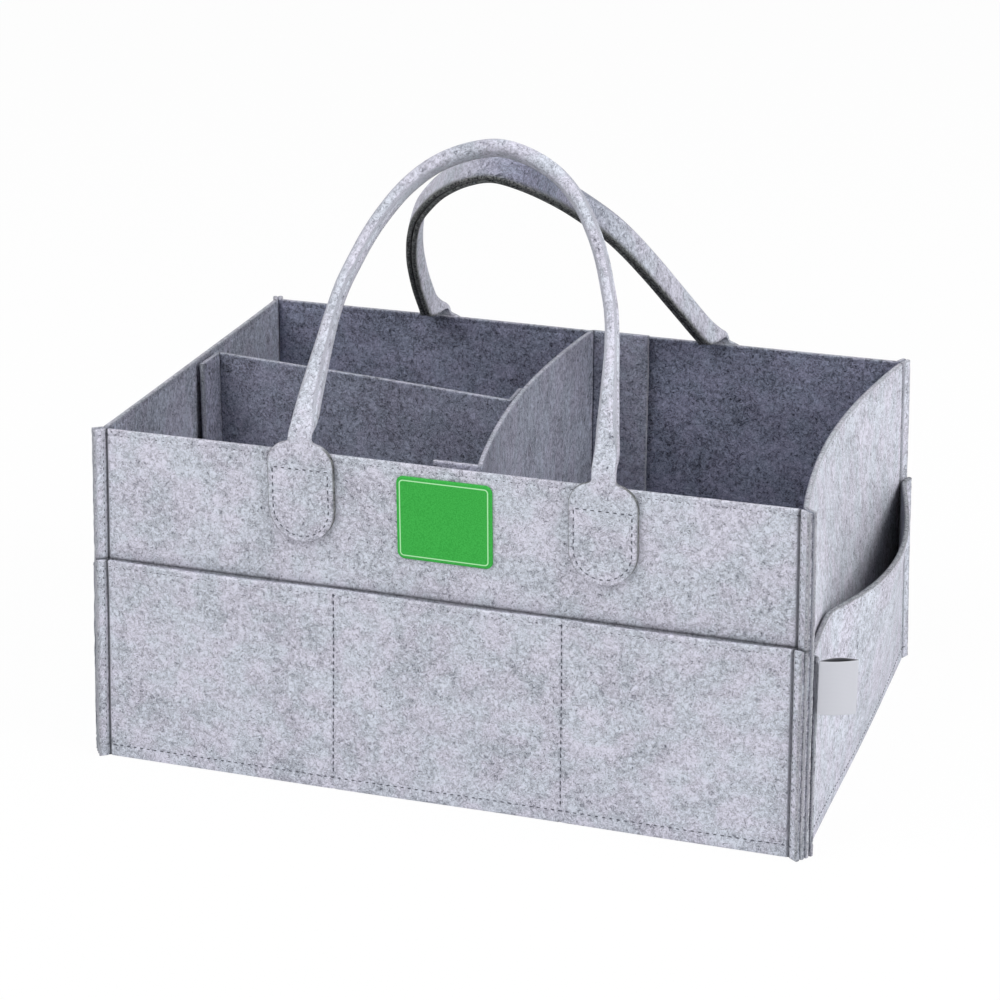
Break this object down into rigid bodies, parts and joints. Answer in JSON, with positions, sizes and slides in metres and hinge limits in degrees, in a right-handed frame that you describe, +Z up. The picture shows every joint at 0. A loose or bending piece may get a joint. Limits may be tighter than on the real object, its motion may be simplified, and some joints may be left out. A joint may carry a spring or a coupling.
{
  "type": "diaper caddy",
  "caption": "Open rectangular felt caddy with outside pockets, two arched carrying handles that swing outwards, and loose dividers that part the inside.",
  "frame": {"origin": "on the floor, under the middle of the box", "axes": "+X to the right along the box's length, +Y from the front to the rear, +Z up"},
  "size_m": [0.4236, 0.2674, 0.3353],
  "materials": {
    "felt": "matte heather felt",
    "thread": "matte sewing thread",
    "patch": "smooth printed cloth",
    "label": "woven ribbon",
    "hook_tape": "matte hook tape"
  },
  "bodies": {
    "shell": {"base_panel": "felt", "front_base_thread": "thread", "front_handle_left_tongue": "felt", "front_handle_left_tongue_thread": "thread", "front_handle_right_tongue": "felt", "front_handle_right_tongue_thread": "thread", "front_left_corner_thread": "thread", "front_patch": "patch", "front_pocket": "felt", "front_pocket_left_row": "thread", "front_pocket_right_row": "thread", "front_right_corner_thread": "thread", "front_wall": "felt", "left_base_thread": "thread", "left_pocket": "felt", "left_wall": "felt", "rear_base_thread": "thread", "rear_handle_left_tongue": "felt", "rear_handle_left_tongue_thread": "thread", "rear_handle_right_tongue": "felt", "rear_handle_right_tongue_thread": "thread", "rear_left_corner_thread": "thread", "rear_pocket": "felt", "rear_pocket_left_row": "thread", "rear_pocket_right_row": "thread", "rear_right_corner_thread": "thread", "rear_wall": "felt", "right_base_thread": "thread", "right_pocket": "felt", "right_wall": "felt", "side_label": "label"},
    "front_handle": {"front_handle_strap": "felt"},
    "rear_handle": {"rear_handle_strap": "felt"},
    "cross_divider": {"cross_divider": "felt", "cross_divider_front_hook_strip": "hook_tape", "cross_divider_rear_hook_strip": "hook_tape"},
    "long_divider": {"long_divider": "felt", "long_divider_left_hook_strip": "hook_tape", "long_divider_right_hook_strip": "hook_tape"}
  },
  "joints": [
    {"name": "front_handle_swing", "type": "hinge", "parent": "shell", "child": "front_handle", "pos_m": [0.0072, -0.1287, 0.195], "axis": [1, 0, 0], "range_deg": [0, 130]},
    {"name": "rear_handle_swing", "type": "hinge", "parent": "shell", "child": "rear_handle", "pos_m": [-0.0045, 0.1287, 0.182], "axis": [-1, 0, 0], "range_deg": [0, 141]},
    {"name": "cross_divider_lift", "type": "slide", "parent": "shell", "child": "cross_divider", "axis": [0, 0, 1], "range_m": [0, 0.1]},
    {"name": "long_divider_lift", "type": "slide", "parent": "shell", "child": "long_divider", "axis": [0, 0, 1], "range_m": [0, 0.1]}
  ]
}
